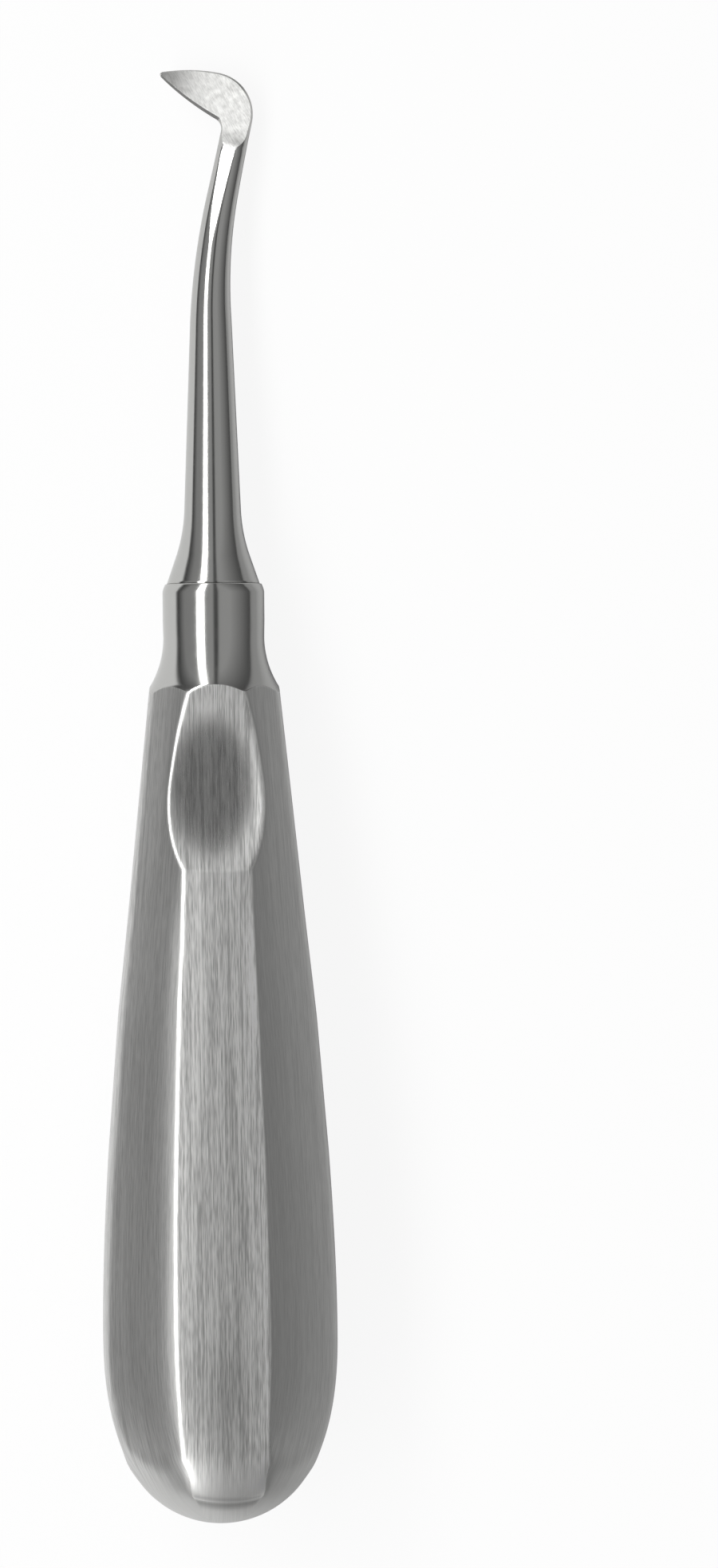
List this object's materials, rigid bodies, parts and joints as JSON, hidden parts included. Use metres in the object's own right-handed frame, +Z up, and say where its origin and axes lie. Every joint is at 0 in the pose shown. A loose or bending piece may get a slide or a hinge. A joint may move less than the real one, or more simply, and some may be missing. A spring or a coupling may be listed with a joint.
{
  "type": "dental elevator",
  "caption": "Stainless dental elevator: eight-sided pear-shaped handle with thumb rest and collar, tapered shank and a flag-shaped blade set across its leaning neck.",
  "frame": {"origin": "centre of the footprint, on the surface that the instrument lies on", "axes": "+Y from the butt towards the blade, +Z up from the surface to the thumb rest, +X to the right of someone who looks down on it with the blade away from them"},
  "size_m": [0.0244, 0.1518, 0.0254],
  "materials": {
    "satin_steel": "satin, brushed lengthwise",
    "polished_steel": "mirror polished, blade face ground"
  },
  "bodies": {
    "root": {"handle": "satin_steel", "blade_shank": "polished_steel"}
  },
  "joints": []
}
